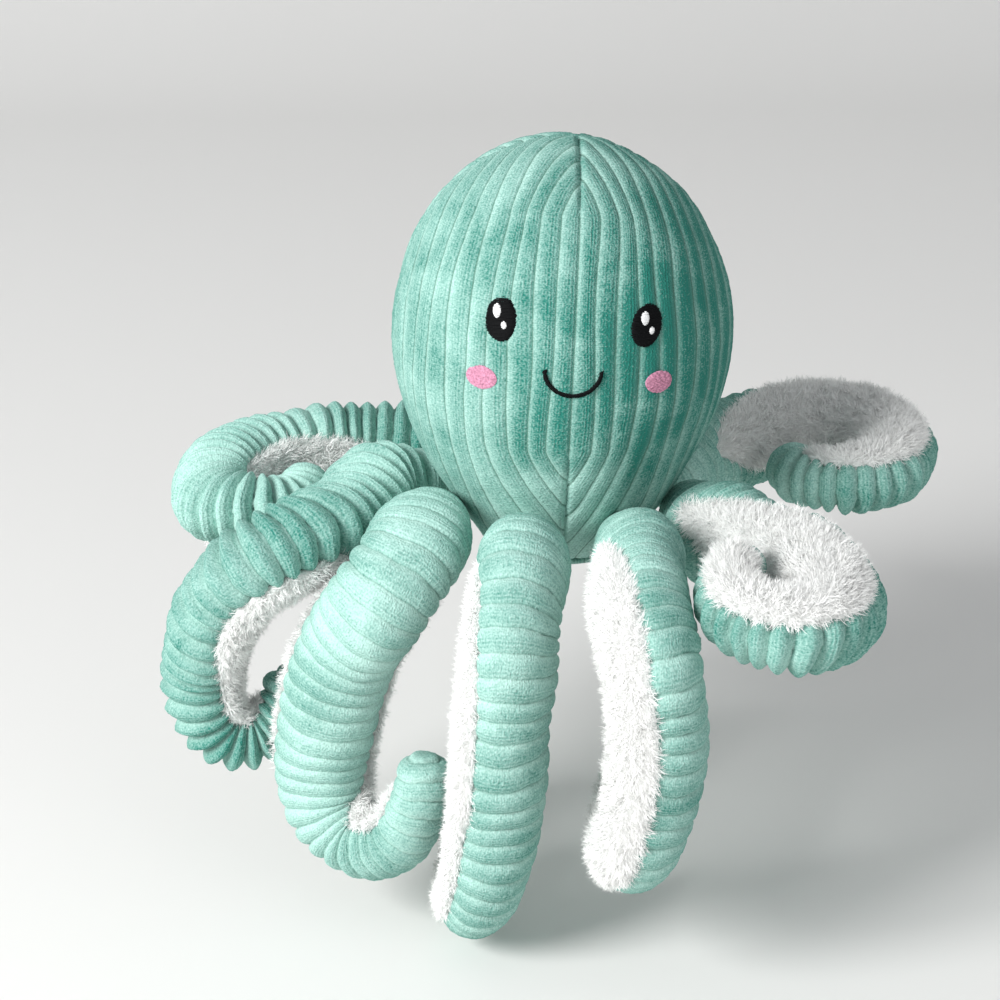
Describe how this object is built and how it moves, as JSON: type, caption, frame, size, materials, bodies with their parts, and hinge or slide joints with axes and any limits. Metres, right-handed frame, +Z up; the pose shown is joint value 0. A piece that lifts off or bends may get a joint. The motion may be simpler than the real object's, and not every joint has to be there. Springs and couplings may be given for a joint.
{
  "type": "plush octopus",
  "caption": "Sitting plush octopus: ribbed velour egg-shaped head with an embroidered face, and curling stuffed arms with long white pile underneath, hinged at their sewn roots.",
  "frame": {"origin": "middle of the flat underside of the base disc under the head", "axes": "+Z up through the head, -Y the way the face looks, +X the toy's own left"},
  "size_m": [0.3516, 0.3634, 0.3304],
  "materials": {
    "velour": "matte",
    "fluff": "matte",
    "filling": "matte",
    "thread_black": "satin",
    "thread_pink": "satin",
    "thread_white": "satin"
  },
  "bodies": {
    "head": {"head_front_panel": "velour", "head_back_panel": "velour", "head_filling": "filling", "head_base_disc": "velour", "eye_right": "thread_black", "cheek_right": "thread_pink", "eye_glint_big_right": "thread_white", "eye_glint_small_right": "thread_white", "eye_left": "thread_black", "cheek_left": "thread_pink", "eye_glint_big_left": "thread_white", "eye_glint_small_left": "thread_white", "mouth": "thread_black"},
    "arm_1": {"arm_1_top": "velour", "arm_1_belly": "fluff", "arm_1_filling": "filling"},
    "arm_2": {"arm_2_top": "velour", "arm_2_belly": "fluff", "arm_2_filling": "filling"},
    "arm_3": {"arm_3_top": "velour", "arm_3_belly": "fluff", "arm_3_filling": "filling"},
    "arm_4": {"arm_4_top": "velour", "arm_4_belly": "fluff", "arm_4_filling": "filling"},
    "arm_5": {"arm_5_top": "velour", "arm_5_belly": "fluff", "arm_5_filling": "filling"},
    "arm_6": {"arm_6_top": "velour", "arm_6_belly": "fluff", "arm_6_filling": "filling"},
    "arm_7": {"arm_7_top": "velour", "arm_7_belly": "fluff", "arm_7_filling": "filling"},
    "arm_8": {"arm_8_top": "velour", "arm_8_belly": "fluff", "arm_8_filling": "filling"}
  },
  "joints": [
    {"name": "arm_1_root", "type": "hinge", "parent": "head", "child": "arm_1", "pos_m": [-0.02586, 0.05546, 0.01774], "axis": [0.1736, 0.9848, 0], "range_deg": [0, 40]},
    {"name": "arm_2_root", "type": "hinge", "parent": "head", "child": "arm_2", "pos_m": [-0.0575, 0.02093, 0.01774], "axis": [0, 1, 0], "range_deg": [0, 30]},
    {"name": "arm_3_root", "type": "hinge", "parent": "head", "child": "arm_3", "pos_m": [-0.05546, -0.02586, 0.01774], "axis": [-0.9397, 0.342, 0], "range_deg": [0, 30]},
    {"name": "arm_4_root", "type": "hinge", "parent": "head", "child": "arm_4", "pos_m": [-0.02093, -0.0575, 0.01774], "axis": [-0.9962, 0.0872, 0], "range_deg": [0, 40]},
    {"name": "arm_5_root", "type": "hinge", "parent": "head", "child": "arm_5", "pos_m": [0.02586, -0.05546, 0.01774], "axis": [-1, 0, 0], "range_deg": [0, 35]},
    {"name": "arm_6_root", "type": "hinge", "parent": "head", "child": "arm_6", "pos_m": [0.0575, -0.02093, 0.01774], "axis": [-0.9397, -0.342, 0], "range_deg": [0, 40]},
    {"name": "arm_7_root", "type": "hinge", "parent": "head", "child": "arm_7", "pos_m": [0.05546, 0.02586, 0.01774], "axis": [0.4226, -0.9063, 0], "range_deg": [0, 45]},
    {"name": "arm_8_root", "type": "hinge", "parent": "head", "child": "arm_8", "pos_m": [0.02093, 0.0575, 0.01774], "axis": [0.9659, -0.2588, 0], "range_deg": [0, 45]}
  ]
}
